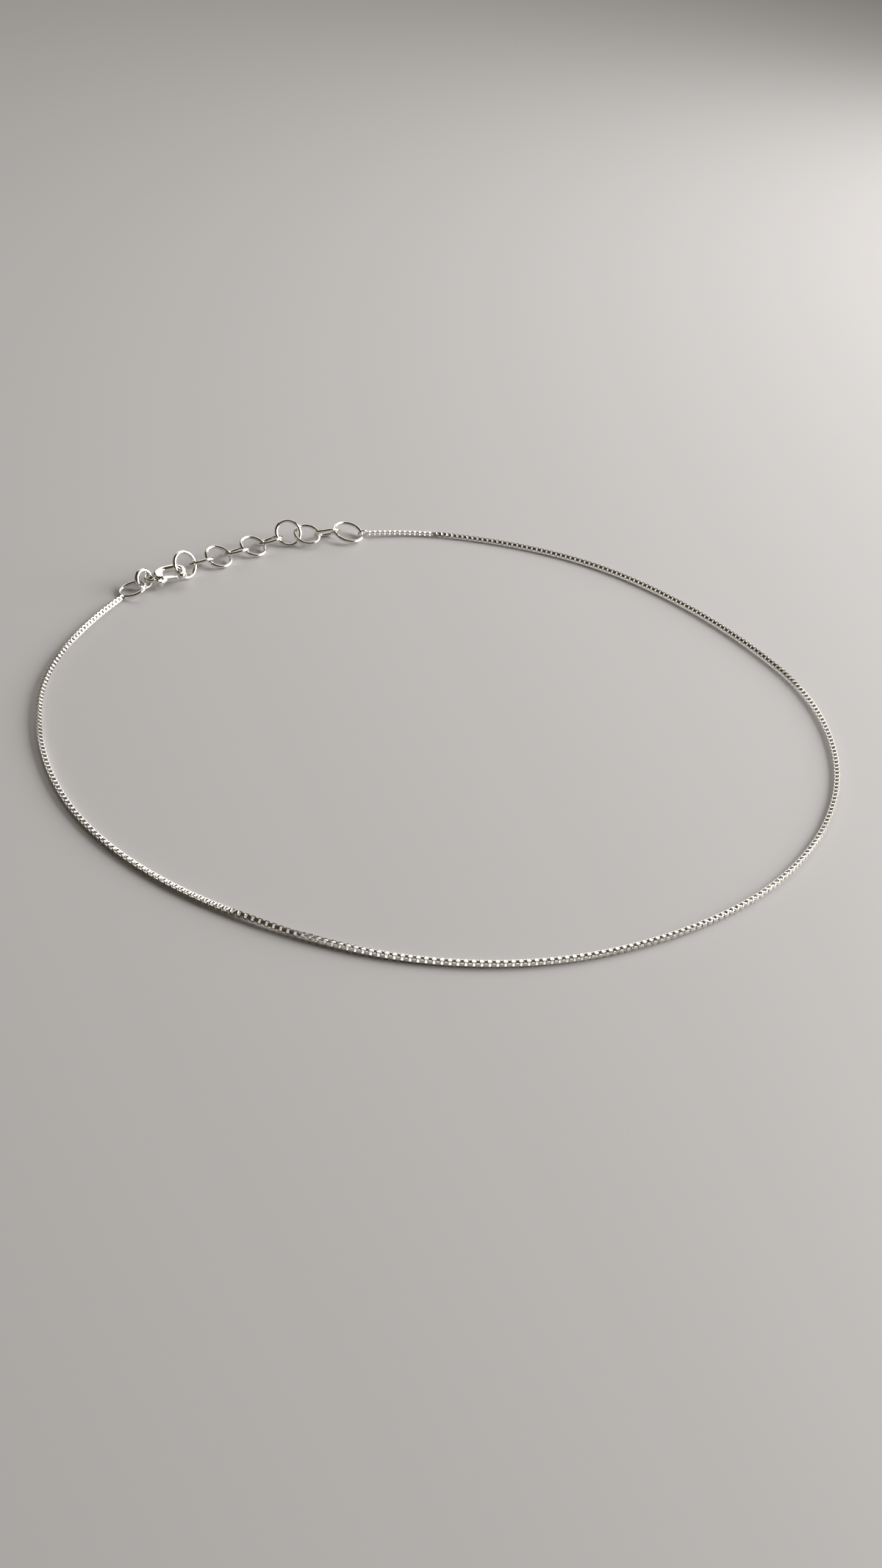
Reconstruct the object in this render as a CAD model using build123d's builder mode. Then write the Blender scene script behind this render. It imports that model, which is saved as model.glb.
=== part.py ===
"""Fine silver box-chain anklet with a lobster clasp and a link extender, lying fastened on a flat surface.

Millimetres, +Z up. The surface is the plane z = 0 and the origin is the middle of the anklet on it.
+Y points to the side where the extender lies.
"""

import os
from math import cos, hypot, pi, radians, sin, sqrt, tan

from build123d import *

os.makedirs("parts", exist_ok=True)

# box chain: a square chain, carried here by a round tube about as thick
CHAIN_DIAMETER = 0.62
CHAIN_HEIGHT = 0.31
CHAIN_END_HEIGHT = 0.55
ARC_SHARE = 0.45
CHAIN_ROUTE = [
    (-13.0, 42.0, CHAIN_END_HEIGHT),
    (-6.6, 44.4, CHAIN_HEIGHT),
    (7.2, 43.6, CHAIN_HEIGHT),
    (20.0, 39.4, CHAIN_HEIGHT),
    (30.8, 31.0, CHAIN_HEIGHT),
    (39.4, 20.6, CHAIN_HEIGHT),
    (45.8, 9.0, CHAIN_HEIGHT),
    (47.0, -5.0, CHAIN_HEIGHT),
    (43.4, -17.8, CHAIN_HEIGHT),
    (35.8, -29.2, CHAIN_HEIGHT),
    (25.2, -37.6, CHAIN_HEIGHT),
    (12.8, -43.2, CHAIN_HEIGHT),
    (-0.8, -44.6, CHAIN_HEIGHT),
    (-14.0, -41.8, CHAIN_HEIGHT),
    (-26.4, -36.4, CHAIN_HEIGHT),
    (-36.8, -27.8, CHAIN_HEIGHT),
    (-43.8, -16.0, CHAIN_HEIGHT),
    (-47.2, -2.8, CHAIN_HEIGHT),
    (-45.2, 10.8, CHAIN_HEIGHT),
    (-42.65, 17.3, CHAIN_HEIGHT),
]

# round links: centre-line radius and wire
LINK_RADIUS = 1.74
LINK_WIRE = 0.46
JOINING_RADIUS = 2.08
JOINING_WIRE = 0.50
JUMP_RADIUS = 1.16
JUMP_WIRE = 0.54
END_RADIUS = 1.70
CHAIN_RING_RADIUS = 0.60
CHAIN_RING_WIRE = 0.28

# every round link as it lies: where its centre is, which way it points, how far it leans over,
# how far it tips up along itself, how far a neighbour lifts it, its radius and its wire
# name: (x, y, heading, lean, tip, lift, radius, wire)
LINKS = {
    "extender_link_1": (-36.1, 25.1, 57, 62, -4, 0.0, LINK_RADIUS, LINK_WIRE),
    "extender_link_2": (-34.45, 27.45, 45, -32, 0, 0.0, LINK_RADIUS, LINK_WIRE),
    "extender_link_3": (-32.45, 29.65, 51, 28, 0, 0.0, LINK_RADIUS, LINK_WIRE),
    "extender_link_4": (-30.4, 31.75, 48, -26, 0, 0.0, LINK_RADIUS, LINK_WIRE),
    "extender_link_5": (-28.4, 33.9, 53, 24, -1, 0.0, LINK_RADIUS, LINK_WIRE),
    "extender_link_6": (-26.35, 36.0, 53, -26, 1, 0.0, LINK_RADIUS, LINK_WIRE),
    "extender_link_7": (-24.05, 37.7, 23, 51, -5, 0.0, LINK_RADIUS, LINK_WIRE),
    "extender_link_8": (-21.45, 38.5, 12, 19, -7, 0.4, LINK_RADIUS, LINK_WIRE),
    "extender_link_9": (-18.75, 39.6, 23, -37, 2, 0.0, LINK_RADIUS, LINK_WIRE),
    "joining_ring": (-15.85, 41.0, 25, 14, -9, 0.1, JOINING_RADIUS, JOINING_WIRE),
    "chain_ring": (-13.8, 41.7, 19, -61, 1, 0.0, CHAIN_RING_RADIUS, CHAIN_RING_WIRE),
    "jump_ring": (-40.65, 20.9, 56, 67, -3, 0.0, JUMP_RADIUS, JUMP_WIRE),
    "end_ring": (-41.75, 19.1, 44, -7, 14, 0.0, END_RADIUS, LINK_WIRE),
}

# clasp: its own x runs from the eye to the nose, its own y to the back of the claw
CLASP_EYE = (-39.98, 21.78, 1.18)
CLASP_HEADING = 26
CLASP_LEAN = 10
CLASP_TIP = 4
CLASP_THICK = 0.96
CLASP_ROUND = 0.30
EYE_RADIUS = 0.68
EYE_WIRE = 0.42
BACK_START = (0.52, 0.50)
BACK_RISE = (1.15, 1.14)
BACK_TOP = (2.20, 1.47)
NOSE_X = 3.35
NOSE_OUTER = 1.50
NOSE_INNER = 0.76
POCKET_CORNER = (2.30, 0.74)
POCKET_BEND = (1.90, 0.56)
POCKET_END = (1.74, 0.10)
BASE_CORNER = (1.74, -1.02)
BASE_BEND = (0.70, -0.84)
BASE_LOW = (1.02, -1.02)
BASE_START = (0.52, -0.50)

# clasp lever, its slot between the two cheeks of the body, and its pin
PIVOT = (1.14, -0.60)
LEVER_THICK = 0.40
LEVER_EYE = 0.38
LEVER_REACH = 2.43
LEVER_GAP = 0.05
LEVER_TOP = [(1.16, -0.22), (3.34, -0.74)]
LEVER_TIP = (3.50, -0.95)
LEVER_UNDER = [(3.36, -1.26), (1.95, -1.20), (1.35, -1.72), (0.76, -1.72), (0.80, -0.66)]
SLOT = [(0.66, -0.12), (2.00, -0.12), (2.00, -1.90), (0.66, -1.90)]
SLOT_GAP = 0.05
PIN_RADIUS = 0.16
PIN_FIT = 0.02
PIN_CLEAR = 0.005
KNOB_RADIUS = 0.36
KNOB_THICK = 0.80
KNOB_AT = (0.98, -1.50)


def lying_plane(centre, heading, lean, tip):
    """Plane whose x runs along the heading, tipped up, and whose y is leaned up from the surface."""
    h = radians(heading)
    t = radians(tip)
    s = radians(lean)
    along = Vector(cos(h) * cos(t), sin(h) * cos(t), sin(t))
    across = Vector(-sin(h), cos(h), 0)
    normal = along.cross(across)
    return Plane(origin=centre, x_dir=along, z_dir=normal * cos(s) - across * sin(s))


def rest_height(lean, tip, radius, wire):
    """Height of a link's centre when its lowest point touches the surface."""
    rise = hypot(sin(radians(tip)), cos(radians(tip)) * sin(radians(lean)))
    return radius * rise + wire / 2


def corner_radii(points):
    """Arc radius at each corner: the share of the shorter run over the tangent of half the turn."""
    radii = []
    for before, corner, after in zip(points, points[1:], points[2:]):
        first = Vector(corner) - Vector(before)
        second = Vector(after) - Vector(corner)
        half_turn = radians(first.get_angle(second)) / 2
        radii.append(ARC_SHARE * min(first.length, second.length) / tan(half_turn))
    return radii


def hook_corner(radius):
    """Point on a circle about the nose's middle where the lever's sweep, with its gap, crosses it."""
    reach = LEVER_REACH + LEVER_GAP
    dx = PIVOT[0] - NOSE_X
    dy = PIVOT[1]
    apart = hypot(dx, dy)
    along = (apart**2 + radius**2 - reach**2) / (2 * apart)
    off = sqrt(radius**2 - along**2)
    return (NOSE_X + (along * dx - off * dy) / apart, (along * dy + off * dx) / apart)


# box chain
bend_radii = corner_radii(CHAIN_ROUTE)
with BuildPart() as box_chain:
    with BuildLine():
        chain_path = FilletPolyline(*CHAIN_ROUTE, radius=bend_radii)
    with BuildSketch(Plane(origin=chain_path @ 0, z_dir=chain_path % 0)):
        Circle(CHAIN_DIAMETER / 2)
    sweep(path=chain_path)
box_chain.part.label = "box_chain"
chain_volume = pi * (CHAIN_DIAMETER / 2) ** 2 * chain_path.length
print("chain bend radii", [round(r, 1) for r in bend_radii])
print("chain length", round(chain_path.length, 1))
print("chain volume over section times length", round(box_chain.part.volume / chain_volume, 4))

# round links
links = {}
for name, (x, y, heading, lean, tip, lift, radius, wire) in LINKS.items():
    height = rest_height(lean, tip, radius, wire) + lift
    with BuildPart(lying_plane((x, y, height), heading, lean, tip)) as link:
        Torus(radius, wire / 2)
    link.part.label = name
    links[name] = link.part

# clasp body: a claw with an eye, slotted for its lever
clasp_plane = lying_plane(CLASP_EYE, CLASP_HEADING, CLASP_LEAN, CLASP_TIP)
clasp_axis = Axis(clasp_plane.origin, clasp_plane.z_dir)
outer_tip = hook_corner(NOSE_OUTER)
inner_tip = hook_corner(NOSE_INNER)
slot_plane = clasp_plane.offset(-LEVER_THICK / 2 - SLOT_GAP)
with BuildPart() as clasp_body:
    with BuildSketch(clasp_plane.offset(-CLASP_THICK / 2)):
        with BuildLine():
            ThreePointArc(BACK_START, BACK_RISE, BACK_TOP)
            Line(BACK_TOP, (NOSE_X, NOSE_OUTER))
            ThreePointArc((NOSE_X, NOSE_OUTER), (NOSE_X + NOSE_OUTER, 0), outer_tip)
            Line(outer_tip, inner_tip)
            ThreePointArc(inner_tip, (NOSE_X + NOSE_INNER, 0), (NOSE_X, NOSE_INNER))
            Line((NOSE_X, NOSE_INNER), POCKET_CORNER)
            ThreePointArc(POCKET_CORNER, POCKET_BEND, POCKET_END)
            Line(POCKET_END, BASE_CORNER)
            Line(BASE_CORNER, BASE_LOW)
            ThreePointArc(BASE_LOW, BASE_BEND, BASE_START)
            Line(BASE_START, BACK_START)
        make_face()
    extrude(amount=CLASP_THICK)
    rim = clasp_body.edges().group_by(clasp_axis)
    fillet(rim[0] + rim[-1], radius=CLASP_ROUND)
    with Locations(clasp_plane):
        Torus(EYE_RADIUS, EYE_WIRE / 2)
    with BuildSketch(slot_plane):
        with BuildLine():
            Polyline(*SLOT, close=True)
        make_face()
    extrude(amount=LEVER_THICK + 2 * SLOT_GAP, mode=Mode.SUBTRACT)
    with BuildSketch(clasp_plane.offset(-CLASP_THICK)):
        with Locations(PIVOT):
            Circle(PIN_RADIUS)
    extrude(amount=2 * CLASP_THICK, mode=Mode.SUBTRACT)
clasp_body.part.label = "clasp_body"

# clasp lever: an arm with its own eye on the pin and a knob for the thumb
with BuildPart() as clasp_lever:
    with BuildSketch(clasp_plane.offset(-LEVER_THICK / 2)):
        with Locations(PIVOT):
            Circle(LEVER_EYE)
        with BuildLine():
            Line(LEVER_TOP[0], LEVER_TOP[1])
            ThreePointArc(LEVER_TOP[1], LEVER_TIP, LEVER_UNDER[0])
            Polyline(*LEVER_UNDER, LEVER_TOP[0])
        make_face()
    extrude(amount=LEVER_THICK)
    with BuildSketch(clasp_plane.offset(-KNOB_THICK / 2)):
        with Locations(KNOB_AT):
            Circle(KNOB_RADIUS)
    extrude(amount=KNOB_THICK)
    with BuildSketch(clasp_plane.offset(-CLASP_THICK)):
        with Locations(PIVOT):
            Circle(PIN_RADIUS + PIN_FIT)
    extrude(amount=2 * CLASP_THICK, mode=Mode.SUBTRACT)
clasp_lever.part.label = "clasp_lever"

# clasp pin, set into both cheeks
with BuildPart() as clasp_pin:
    with BuildSketch(clasp_plane.offset(-CLASP_THICK / 2)):
        with Locations(PIVOT):
            Circle(PIN_RADIUS - PIN_CLEAR)
    extrude(amount=CLASP_THICK)
clasp_pin.part.label = "clasp_pin"

export_step(box_chain.part, "parts/box_chain.step")
export_step(clasp_body.part, "parts/clasp_body.step")
export_step(clasp_lever.part, "parts/clasp_lever.step")
export_step(clasp_pin.part, "parts/clasp_pin.step")
for name, link_part in links.items():
    export_step(link_part, f"parts/{name}.step")
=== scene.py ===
"""Fine silver box-chain anklet, its lobster clasp hooked into an extender of nine round links.

Metres in the file, millimetres in its tables; +Z up, and the surface under the anklet is z = 0.
"""

import bpy
import numpy as np
from mathutils import Matrix, Vector


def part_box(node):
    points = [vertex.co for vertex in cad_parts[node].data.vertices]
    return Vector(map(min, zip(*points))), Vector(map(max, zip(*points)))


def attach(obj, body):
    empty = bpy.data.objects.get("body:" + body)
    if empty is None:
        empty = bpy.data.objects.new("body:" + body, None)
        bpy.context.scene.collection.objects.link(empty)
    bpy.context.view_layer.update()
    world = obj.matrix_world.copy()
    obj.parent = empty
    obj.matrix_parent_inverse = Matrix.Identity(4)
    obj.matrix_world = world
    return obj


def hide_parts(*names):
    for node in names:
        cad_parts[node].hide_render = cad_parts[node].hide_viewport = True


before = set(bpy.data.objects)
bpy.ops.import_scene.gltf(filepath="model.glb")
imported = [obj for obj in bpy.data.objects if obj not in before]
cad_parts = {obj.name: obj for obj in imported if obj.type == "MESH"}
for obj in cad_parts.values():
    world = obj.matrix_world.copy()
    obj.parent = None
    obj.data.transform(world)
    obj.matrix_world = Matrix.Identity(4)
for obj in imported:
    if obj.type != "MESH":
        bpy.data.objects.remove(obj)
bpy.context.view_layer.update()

MM = 0.001

# camera: its place, its turn down from level and its tip up at the right in degrees, and its lens
CAMERA_PLACE = (0.85, -132.06, 86.08)
CAMERA_DOWN = 36.625
CAMERA_TIP = 5.333
CAMERA_LENS = 30.2
CAMERA_SENSOR = 36

# box chain: the control points of its middle line, from the joining ring round to the clasp
CHAIN_ROUTE = [
    (-13.0, 42.0, 0.55),
    (-6.6, 44.4, 0.31),
    (7.2, 43.6, 0.31),
    (20.0, 39.4, 0.31),
    (30.8, 31.0, 0.31),
    (39.4, 20.6, 0.31),
    (45.8, 9.0, 0.31),
    (47.0, -5.0, 0.31),
    (43.4, -17.8, 0.31),
    (35.8, -29.2, 0.31),
    (25.2, -37.6, 0.31),
    (12.8, -43.2, 0.31),
    (-0.8, -44.6, 0.31),
    (-14.0, -41.8, 0.31),
    (-26.4, -36.4, 0.31),
    (-36.8, -27.8, 0.31),
    (-43.8, -16.0, 0.31),
    (-47.2, -2.8, 0.31),
    (-45.2, 10.8, 0.31),
    (-42.65, 17.3, 0.31),
]
# height of that line where the chain lies flat
CHAIN_REST = 0.31

# its square links: step from one to the next, length and side outside, thickness and width of the
# strip, corner radius, crown of the strip, and the last link's distance from the chain's end
LINK_PITCH = 0.37
LINK_LENGTH = 0.53
LINK_SIDE = 0.60
LINK_STRIP = 0.09
LINK_DEPTH = 0.36
LINK_CORNER = 0.10
LINK_CROWN = 0.012
LAST_LINK = 0.21

# how the chain twists as it lies: distance from its start, and the degrees that a face leans to the
# chain's right
CHAIN_TWIST = [
    (0.0, 10.0),
    (9.0, 13.0),
    (13.0, 60.0),
    (60.0, 50.0),
    (85.0, 26.0),
    (100.0, 18.0),
    (122.0, 6.0),
    (136.0, 3.0),
    (157.0, 7.0),
    (164.0, 14.0),
    (168.5, 45.0),
    (173.0, 80.0),
    (187.0, 90.0),
    (205.0, 98.0),
    (212.0, 120.0),
    (219.0, 134.0),
    (243.0, 146.0),
]

# round links by CAD node: heading, lean and tip in degrees, radius to the wire's middle, and wire
WIRE_RINGS = {
    "extender_link_1": (57, 62, -4, 1.74, 0.46),
    "extender_link_2": (45, -32, 0, 1.74, 0.46),
    "extender_link_3": (51, 28, 0, 1.74, 0.46),
    "extender_link_4": (48, -26, 0, 1.74, 0.46),
    "extender_link_5": (53, 24, -1, 1.74, 0.46),
    "extender_link_6": (53, -26, 1, 1.74, 0.46),
    "extender_link_7": (23, 51, -5, 1.74, 0.46),
    "extender_link_8": (12, 19, -7, 1.74, 0.46),
    "extender_link_9": (23, -37, 2, 1.74, 0.46),
    "joining_ring": (25, 14, -9, 2.08, 0.50),
    "chain_ring": (19, -61, 1, 0.60, 0.28),
    "jump_ring": (56, 67, -3, 1.16, 0.54),
    "end_ring": (44, -7, 14, 1.70, 0.46),
}

# clasp: middle of its eye, and its heading, lean and tip; in its own plane x runs from eye to nose
CLASP_EYE = (-39.98, 21.78, 1.18)
CLASP_LIE = (26, 10, 4)
CLASP_THICK = 0.96
EYE_RADIUS = 0.68
EYE_WIRE = 0.42

# its claw: how far its rims round off, the nose's arcs and where they end, the arcs of the back,
# the pocket and the base, the step in which its outline is walked and how many steps soften it, and
# the slot cut for the lever
CLAW_ROUND = 0.30
NOSE_X = 3.35
NOSE_OUTER = 1.50
NOSE_INNER = 0.76
NOSE_END = -56
BACK_CENTRE = (2.272, -0.595)
BACK_RADIUS = 2.066
BACK_TURN = (92, 148)
POCKET_CENTRE = (2.323, 0.155)
POCKET_RADIUS = 0.585
POCKET_TURN = (185.4, 92.2)
BASE = [(0.52, -0.50), (0.70, -0.84), (1.02, -1.02)]
BASE_CENTRE = (1.42, -0.70)
BASE_RADIUS = 0.32
CLAW_STEP = 0.05
CLAW_SOFTEN = 2
SLOT_BOX = [(0.66, -1.90, -0.25), (2.00, -0.12, 0.25)]

# its pin, and the pin's bores through the two cheeks and through the lever
PIVOT = (1.14, -0.60)
PIN_RADIUS = 0.155
PIN_EDGE = 0.04
CHEEK_BORE = 0.16
LEVER_BORE = 0.18

# its lever: an eye round the pin, an arm to the nose, and a knob for the thumb
LEVER_THICK = 0.40
LEVER_ROUND = 0.08
LEVER_EYE = 0.38
LEVER_EYE_TURN = (70, 195)
LEVER_ARM = [
    (0.76, -1.72),
    (1.35, -1.72),
    (1.95, -1.20),
    (3.36, -1.26),
    (3.50, -0.95),
    (3.34, -0.74),
]
LEVER_STEP = 0.04
LEVER_SOFTEN = 3
KNOB_AT = (0.98, -1.50)
KNOB_RADIUS = 0.36
KNOB_THICK = 0.80
KNOB_EDGE = 0.12

# degrees up to which the faces of wire and castings, and those of the links, meet smoothly
SMOOTH_TO = 40
LINK_SMOOTH_TO = 50

# surface under the anklet: half its side
FLOOR_REACH = 3000


# materials
def linear(hex_colour):
    """sRGB hex to linear: c/12.92 up to 0.04045, and ((c + 0.055)/1.055)^2.4 above."""
    srgb = np.array([int(hex_colour[i : i + 2], 16) for i in (1, 3, 5)]) / 255
    return (*np.where(srgb <= 0.04045, srgb / 12.92, ((srgb + 0.055) / 1.055) ** 2.4), 1.0)


def add_node(tree, kind, inputs=None, **settings):
    """One node of a tree, with its settings; an input is a value or the socket it is linked to."""
    made = tree.nodes.new(kind)
    for name, value in settings.items():
        setattr(made, name, value)
    for name, value in (inputs or {}).items():
        if isinstance(value, bpy.types.NodeSocket):
            tree.links.new(value, made.inputs[name])
        else:
            made.inputs[name].default_value = value
    return made


def new_material(name):
    """An empty node material and its tree."""
    material = bpy.data.materials.new(name)
    material.use_nodes = True
    material.node_tree.nodes.clear()
    return material, material.node_tree


def silver(name, colour, low, high, mark, depth):
    """Sterling silver: roughness from low to high over soft marks of mark mm, depth mm deep."""
    material, tree = new_material(name)
    place = add_node(tree, "ShaderNodeTexCoord").outputs["Object"]
    marks = add_node(
        tree, "ShaderNodeTexNoise", {"Vector": place, "Scale": 1 / (mark * MM), "Detail": 3.0}
    ).outputs["Fac"]
    gloss = add_node(tree, "ShaderNodeMapRange", {"Value": marks, "To Min": low, "To Max": high})
    relief = add_node(
        tree, "ShaderNodeBump", {"Height": marks, "Strength": 1.0, "Distance": depth * MM}
    )
    shader = add_node(
        tree,
        "ShaderNodeBsdfPrincipled",
        {
            "Base Color": linear(colour),
            "Metallic": 1.0,
            "Roughness": gloss.outputs["Result"],
            "Normal": relief.outputs["Normal"],
        },
    )
    add_node(tree, "ShaderNodeOutputMaterial", {"Surface": shader.outputs["BSDF"]})
    return material


# drawn and soldered silver wire, tumbled bright: mirror-like, with soft marks 0.3 mm apart
wire_silver = silver("tumbled_sterling_silver_wire", "#ECE9E4", 0.12, 0.20, 0.30, 0.0010)
# rolled silver strip of the box links, cut bright: a shade whiter, with soft marks 0.2 mm apart
strip_silver = silver("bright_cut_sterling_silver_strip", "#F1EEE9", 0.12, 0.20, 0.20, 0.0008)
# cast silver of the clasp, hand polished: the glossiest, with faint waves 0.5 mm apart
cast_silver = silver("polished_cast_sterling_silver", "#ECE9E4", 0.10, 0.18, 0.50, 0.0015)


# meshes
def grid_faces(rows, columns, close_rows, close_columns):
    """Quads of a rows by columns grid of points, joined round in either direction."""
    r = np.arange(rows if close_rows else rows - 1)[:, None]
    c = np.arange(columns if close_columns else columns - 1)[None, :]
    near, far = r * columns, (r + 1) % rows * columns
    left, right = c, (c + 1) % columns
    return np.stack([near + left, far + left, far + right, near + right], axis=-1).reshape(-1, 4)


def new_piece(name, points, faces, material, smooth_to=SMOOTH_TO):
    """An object from points in mm and rows of indices, smooth over edges up to smooth_to."""
    mesh = bpy.data.meshes.new(name)
    mesh.from_pydata(np.asarray(points).reshape(-1, 3) * MM, [], [list(map(int, f)) for f in faces])
    mesh.materials.append(material)
    mesh.shade_smooth()
    mesh.set_sharp_from_angle(angle=np.radians(smooth_to))
    mesh.update()
    piece = bpy.data.objects.new(name, mesh)
    bpy.context.scene.collection.objects.link(piece)
    return piece


def lying_axes(heading, lean, tip):
    """Three rows: along the heading and tipped up, across it and leaned up, and their normal."""
    h, s, t = np.radians([heading, lean, tip])
    along = np.array([np.cos(h) * np.cos(t), np.sin(h) * np.cos(t), np.sin(t)])
    level = np.array([-np.sin(h), np.cos(h), 0.0])
    normal = np.cross(along, level)
    across = level * np.cos(s) + normal * np.sin(s)
    upright = normal * np.cos(s) - level * np.sin(s)
    return np.array([along, across, upright])


def wire_ring(radius, wire, around=96, about=20):
    """Torus ((R + r cos v) cos u, (R + r cos v) sin u, r sin v), u round the ring and v the wire."""
    u = np.linspace(0, 2 * np.pi, around, endpoint=False)[:, None]
    v = np.linspace(0, 2 * np.pi, about, endpoint=False)[None, :]
    out = radius + wire / 2 * np.cos(v)
    points = np.stack([out * np.cos(u), out * np.sin(u), wire / 2 * np.sin(v) + 0 * u], axis=-1)
    return points, grid_faces(around, about, True, True)


def dress(piece, node, body="anklet"):
    """The piece stands for that CAD node and moves with that body."""
    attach(piece, body)
    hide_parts(node)


# box chain
def chain_line():
    """Points of the quadratic NURBS spline of the route, and their distances along it in mm."""
    curve = bpy.data.curves.new("chain_route", "CURVE")
    curve.dimensions = "3D"
    curve.resolution_u = 32
    spline = curve.splines.new("NURBS")
    spline.points.add(len(CHAIN_ROUTE) - 1)
    route = np.column_stack([np.array(CHAIN_ROUTE) * MM, np.ones(len(CHAIN_ROUTE))])
    spline.points.foreach_set("co", route.ravel())
    spline.order_u = 3
    spline.use_endpoint_u = True
    carrier = bpy.data.objects.new("chain_route", curve)
    mesh = bpy.data.meshes.new_from_object(carrier)
    points = np.empty(len(mesh.vertices) * 3)
    mesh.vertices.foreach_get("co", points)
    points = points.reshape(-1, 3) / MM
    bpy.data.meshes.remove(mesh)
    bpy.data.objects.remove(carrier)
    bpy.data.curves.remove(curve)
    steps = np.linalg.norm(np.diff(points, axis=0), axis=1)
    return points, np.concatenate([[0], np.cumsum(steps)])


def square_link():
    """One link: a rounded LINK_LENGTH by LINK_SIDE frame, its strip crowned outside by LINK_CROWN.

    A corner's points are its centre plus the reach of the strip's section, turned by 0, 45 and 90
    degrees. That section has three outer points and two inner ones.
    """
    turn = np.radians(np.arange(4)[:, None] * 90 + np.array([0, 45, 90])[None, :]).ravel()
    corner = np.radians(np.repeat(np.arange(4) * 90 + 45, 3))
    long, wide = (np.array([LINK_LENGTH, LINK_SIDE]) / 2 - LINK_CORNER) * np.sqrt(2)
    depth = np.array([-1, 0, 1, 1, -1]) * LINK_DEPTH / 2
    reach = LINK_CORNER + np.array([-LINK_CROWN, 0, -LINK_CROWN, -LINK_STRIP, -LINK_STRIP])
    x = long * np.cos(corner)[:, None] + reach * np.cos(turn)[:, None]
    y = wide * np.sin(corner)[:, None] + reach * np.sin(turn)[:, None]
    points = np.stack([x, y, depth + 0 * x], axis=-1).reshape(-1, 3)
    return points, grid_faces(len(turn), len(depth), True, True)


def box_chain():
    """Square links along the chain's line, each a quarter turned from the last, all by the twist.

    A link's middle lies so high that the lowest corner of its square section touches the surface:
    half its side times |cos| + |sin| of the twist.
    """
    line, far = chain_line()
    count = int(round((far[-1] - 2 * LAST_LINK) / LINK_PITCH)) + 1
    place = np.linspace(LAST_LINK, far[-1] - LAST_LINK, count)
    middle = np.stack([np.interp(place, far, line[:, k]) for k in range(3)], axis=-1)
    along = np.gradient(middle, axis=0)
    along /= np.linalg.norm(along, axis=1)[:, None]
    right = np.cross(along, [0, 0, 1])
    right /= np.linalg.norm(right, axis=1)[:, None]
    up = np.cross(right, along)
    stations, leans = np.array(CHAIN_TWIST).T
    twist = np.radians(np.interp(place, stations, leans))
    square = LINK_SIDE / 2 * (np.abs(np.cos(twist)) + np.abs(np.sin(twist)))
    middle[:, 2] += square - CHAIN_REST
    turn = (twist + np.arange(count) % 2 * np.pi / 2)[:, None]
    face = up * np.cos(turn) + right * np.sin(turn)
    axle = np.cross(along, face)
    points, faces = square_link()
    placed = (
        middle[:, None, :]
        + points[None, :, :1] * along[:, None, :]
        + points[None, :, 1:2] * face[:, None, :]
        + points[None, :, 2:] * axle[:, None, :]
    )
    every = faces[None] + (np.arange(count) * len(points))[:, None, None]
    return placed.reshape(-1, 3), every.reshape(-1, 4)


chain = new_piece("box_chain_links", *box_chain(), strip_silver, smooth_to=LINK_SMOOTH_TO)
dress(chain, "box_chain")

# round links, each about the middle of its own CAD node
for node, (heading, lean, tip, radius, wire) in WIRE_RINGS.items():
    low, high = (np.array(corner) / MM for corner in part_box(node))
    points, faces = wire_ring(radius, wire)
    placed = points @ lying_axes(heading, lean, tip) + (low + high) / 2
    dress(new_piece(f"{node}_wire", placed, faces, wire_silver), node)


# clasp
def arc(centre, radius, start, end, count=24):
    """Points (cx + r cos a, cy + r sin a) for a from start to end in degrees."""
    a = np.radians(np.linspace(start, end, count))
    return np.stack([centre[0] + radius * np.cos(a), centre[1] + radius * np.sin(a)], axis=-1)


def even_outline(points, step, soften):
    """The closed outline walked in even steps, then a running mean over soften steps either way."""
    closed = np.vstack([points, points[:1]])
    far = np.concatenate([[0], np.cumsum(np.linalg.norm(np.diff(closed, axis=0), axis=1))])
    walk = np.linspace(0, far[-1], int(far[-1] / step), endpoint=False)
    even = np.stack([np.interp(walk, far, closed[:, k]) for k in range(2)], axis=-1)
    shifts = range(-soften, soften + 1)
    return sum(np.roll(even, k, axis=0) for k in shifts) / len(shifts)


def pillow(outline, thick, round_off, layers=7):
    """A plate with rounded rims: its outline goes in by r(1 - cos a) at height t/2 - r + r sin a.

    The lower half mirrors the upper. The outline runs anticlockwise, so its inward normal is its
    tangent turned left.
    """
    tangent = np.roll(outline, -1, axis=0) - np.roll(outline, 1, axis=0)
    tangent /= np.linalg.norm(tangent, axis=1)[:, None]
    inward = np.stack([-tangent[:, 1], tangent[:, 0]], axis=-1)
    a = np.linspace(0, np.pi / 2, layers)
    a = np.concatenate([a[::-1], a])
    inset = round_off * (1 - np.cos(a))
    height = np.repeat([-1, 1], layers) * (thick / 2 - round_off + round_off * np.sin(a))
    flat = outline[:, None, :] + inset[None, :, None] * inward[:, None, :]
    rows, columns = flat.shape[:2]
    lift = np.broadcast_to(height[None, :, None], (rows, columns, 1))
    points = np.concatenate([flat, lift], axis=-1)
    faces = [*grid_faces(rows, columns, True, False)]
    faces.append(np.arange(rows)[::-1] * columns)
    faces.append(np.arange(rows) * columns + columns - 1)
    return points, faces


def lathe(profile, centre, around=40):
    """A profile of (radius, height) turned about an axis at centre, square to the clasp's plane."""
    u = np.linspace(0, 2 * np.pi, around, endpoint=False)[:, None]
    r, h = np.array(profile).T
    points = np.stack([centre[0] + r * np.cos(u), centre[1] + r * np.sin(u), h + 0 * u], axis=-1)
    faces = [*grid_faces(around, len(profile), True, False)]
    faces.append(np.arange(around)[::-1] * len(profile))
    faces.append(np.arange(around) * len(profile) + len(profile) - 1)
    return points, faces


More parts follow.
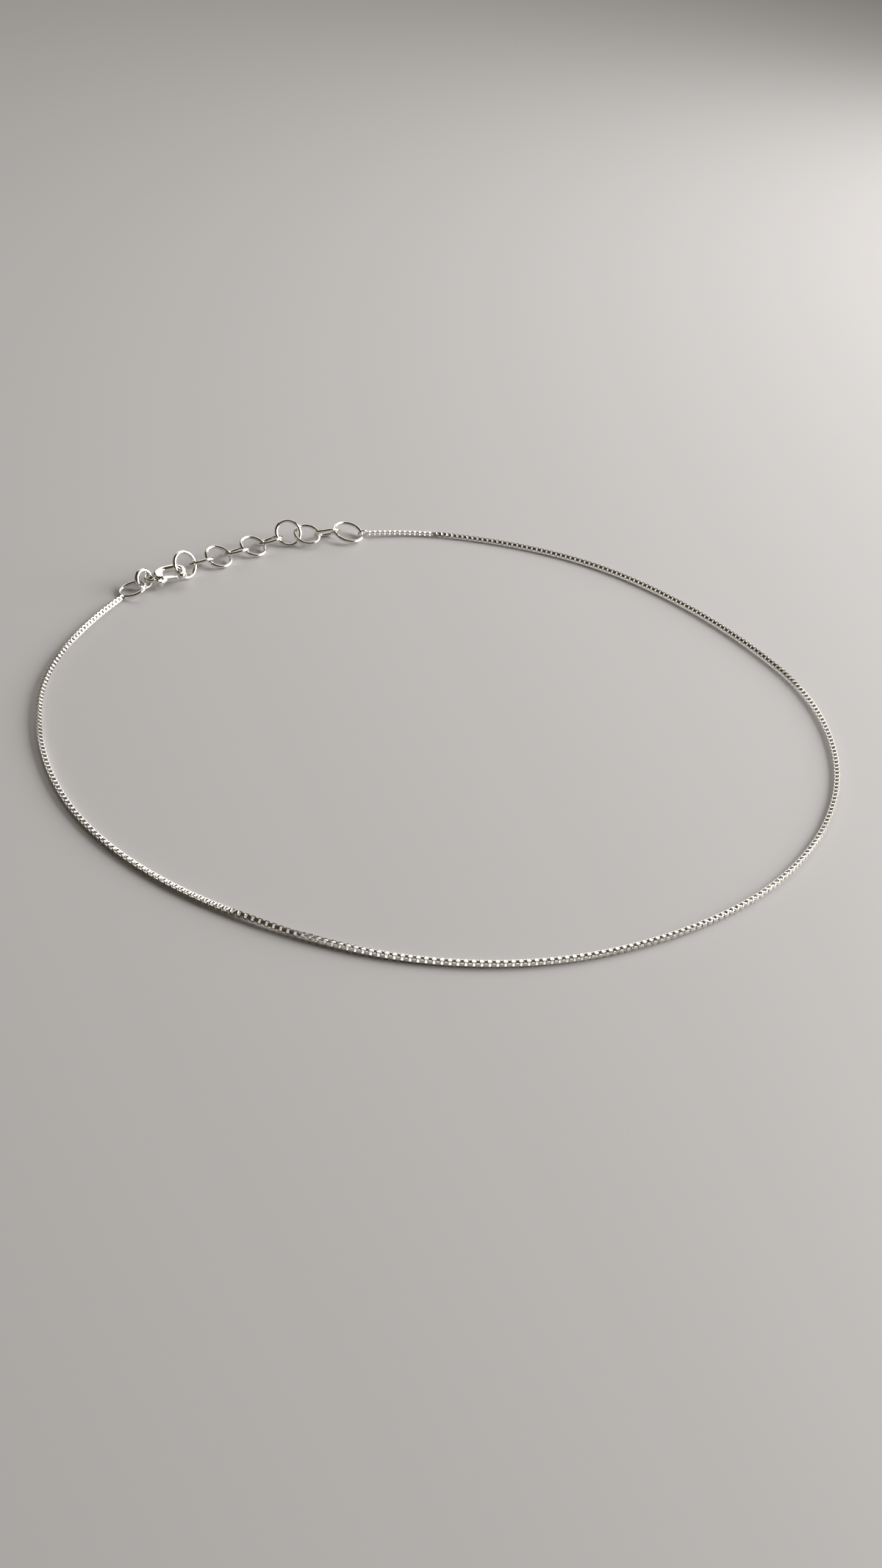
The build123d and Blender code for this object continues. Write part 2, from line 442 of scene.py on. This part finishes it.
def rounded_disc(radius, thick, edge):
    """Profile of a disc with quarter circles of radius edge for rims, from lower face to upper."""
    a = np.linspace(-np.pi / 2, 0, 6)
    out, height = radius - edge + edge * np.cos(a), -thick / 2 + edge + edge * np.sin(a)
    low = np.stack([out, height], axis=-1)
    return [*low, *(low[::-1] * (1, -1))]


def clasp_piece(name, points, faces):
    """A piece worked out in the clasp's own plane and put where the clasp lies."""
    placed = np.asarray(points).reshape(-1, 3) @ lying_axes(*CLASP_LIE) + np.array(CLASP_EYE)
    return new_piece(name, placed, faces, cast_silver)


def join_solids(base, other, operation):
    """base with the other solid added to it or cut from it; the other goes."""
    change = base.modifiers.new(operation, "BOOLEAN")
    change.operation = operation
    change.solver = "EXACT"
    change.object = other
    evaluated = base.evaluated_get(bpy.context.evaluated_depsgraph_get())
    made = bpy.data.meshes.new_from_object(evaluated)
    base.modifiers.clear()
    base.data = made
    made.shade_smooth()
    made.set_sharp_from_angle(angle=np.radians(SMOOTH_TO))
    bpy.data.objects.remove(other)


# the claw's body with its eye, slotted for the lever and bored for the pin
nose = (NOSE_X, 0)
tip_centre = arc(nose, (NOSE_OUTER + NOSE_INNER) / 2, NOSE_END, NOSE_END, 1)[0]
claw = np.vstack(
    [
        BASE,
        arc(BASE_CENTRE, BASE_RADIUS, -90, 0),
        arc(POCKET_CENTRE, POCKET_RADIUS, *POCKET_TURN),
        arc(nose, NOSE_INNER, 90, NOSE_END),
        arc(tip_centre, (NOSE_OUTER - NOSE_INNER) / 2, NOSE_END + 180, NOSE_END + 360),
        arc(nose, NOSE_OUTER, NOSE_END, 90),
        arc(BACK_CENTRE, BACK_RADIUS, *BACK_TURN),
    ]
)
points, faces = pillow(even_outline(claw, CLAW_STEP, CLAW_SOFTEN), CLASP_THICK, CLAW_ROUND)
clasp_body = clasp_piece("clasp_claw", points, faces)
points, faces = wire_ring(EYE_RADIUS, EYE_WIRE, around=64)
join_solids(clasp_body, clasp_piece("clasp_eye", points, faces), "UNION")
corners = np.stack(np.meshgrid(*np.array(SLOT_BOX).T, indexing="ij"), axis=-1)
box_faces = [(0, 1, 3, 2), (4, 6, 7, 5), (0, 4, 5, 1), (2, 3, 7, 6), (0, 2, 6, 4), (1, 5, 7, 3)]
join_solids(clasp_body, clasp_piece("clasp_slot", corners, box_faces), "DIFFERENCE")
points, faces = lathe([(CHEEK_BORE, -CLASP_THICK), (CHEEK_BORE, CLASP_THICK)], PIVOT)
join_solids(clasp_body, clasp_piece("clasp_cheek_bore", points, faces), "DIFFERENCE")
dress(clasp_body, "clasp_body")

# the lever, with its knob and its own bore
lever = even_outline(
    np.vstack([arc(PIVOT, LEVER_EYE, *LEVER_EYE_TURN), LEVER_ARM]), LEVER_STEP, LEVER_SOFTEN
)
points, faces = pillow(lever, LEVER_THICK, LEVER_ROUND, layers=4)
clasp_lever = clasp_piece("clasp_lever_arm", points, faces)
points, faces = lathe(rounded_disc(KNOB_RADIUS, KNOB_THICK, KNOB_EDGE), KNOB_AT)
join_solids(clasp_lever, clasp_piece("clasp_knob", points, faces), "UNION")
points, faces = lathe([(LEVER_BORE, -CLASP_THICK), (LEVER_BORE, CLASP_THICK)], PIVOT)
join_solids(clasp_lever, clasp_piece("clasp_lever_bore", points, faces), "DIFFERENCE")
dress(clasp_lever, "clasp_lever", body="clasp_lever")

# the pin, riveted flush with both cheeks
points, faces = lathe(rounded_disc(PIN_RADIUS, CLASP_THICK, PIN_EDGE), PIVOT)
dress(clasp_piece("clasp_rivet", points, faces), "clasp_pin")


# surface, light and camera
def matt(name, colour, roughness, grain, depth):
    """Matt glaze of one colour and roughness, with a fine grain of grain mm, depth mm deep."""
    material, tree = new_material(name)
    place = add_node(tree, "ShaderNodeTexCoord").outputs["Object"]
    noise = add_node(
        tree, "ShaderNodeTexNoise", {"Vector": place, "Scale": 1 / (grain * MM), "Detail": 2.0}
    ).outputs["Fac"]
    relief = add_node(
        tree, "ShaderNodeBump", {"Height": noise, "Strength": 1.0, "Distance": depth * MM}
    )
    shader = add_node(
        tree,
        "ShaderNodeBsdfPrincipled",
        {"Base Color": linear(colour), "Roughness": roughness, "Normal": relief.outputs["Normal"]},
    )
    add_node(tree, "ShaderNodeOutputMaterial", {"Surface": shader.outputs["BSDF"]})
    return material


# matt glazed stoneware: pale and even, with a soft sheen and no clear reflection
stoneware = matt("matt_stoneware", "#C9C7C8", 0.55, 0.6, 0.002)
floor_corners = np.array([(-1, -1, 0), (1, -1, 0), (1, 1, 0), (-1, 1, 0)]) * FLOOR_REACH
floor = new_piece("floor", floor_corners, [(0, 1, 2, 3)], stoneware)


def panel_light(name, place, width, height, radiance, colour):
    """A flat lamp of that width and height in metres, aimed at the middle of the anklet.

    A flat lamp of radiance L and area A gives out pi L A watts.
    """
    lamp = bpy.data.lights.new(name, "AREA")
    lamp.shape = "RECTANGLE"
    lamp.size = width
    lamp.size_y = height
    lamp.energy = radiance * np.pi * width * height
    lamp.color = linear(colour)[:3]
    holder = bpy.data.objects.new(name, lamp)
    holder.location = place
    holder.rotation_mode = "QUATERNION"
    holder.rotation_quaternion = (-Vector(place)).to_track_quat("-Z", "Y")
    bpy.context.scene.collection.objects.link(holder)


# a tall soft window low at the right, and a pale wall high behind; the rest of the room is dim
panel_light("window", (0.47, 0.155, 0.205), 0.48, 0.36, 10.0, "#FFFDFA")
panel_light("pale_wall", (-0.07, 0.88, 0.80), 1.40, 0.84, 1.35, "#FFFDFA")

world = bpy.data.worlds.new("dim_room")
world.use_nodes = True
bpy.context.scene.world = world
tree = world.node_tree
tree.nodes.clear()
room = add_node(tree, "ShaderNodeBackground", {"Color": linear("#CFBE96"), "Strength": 0.08})
add_node(tree, "ShaderNodeOutputWorld", {"Surface": room.outputs["Background"]})

camera = bpy.data.objects.new("camera", bpy.data.cameras.new("camera"))
camera.data.sensor_width = CAMERA_SENSOR
camera.data.lens = CAMERA_LENS
camera.data.clip_start = 0.005
down, tip = np.radians([CAMERA_DOWN, CAMERA_TIP])
forward = np.array([0, np.cos(down), -np.sin(down)])
level_up = np.array([0, np.sin(down), np.cos(down)])
right = np.array([np.cos(tip), 0, 0]) + np.sin(tip) * level_up
turned = Matrix(np.column_stack([right, np.cross(right, forward), -forward]).tolist())
camera.matrix_world = Matrix.Translation(Vector(CAMERA_PLACE) * MM) @ turned.to_4x4()
bpy.context.scene.collection.objects.link(camera)
bpy.context.scene.camera = camera
bpy.context.scene.view_settings.view_transform = "Standard"
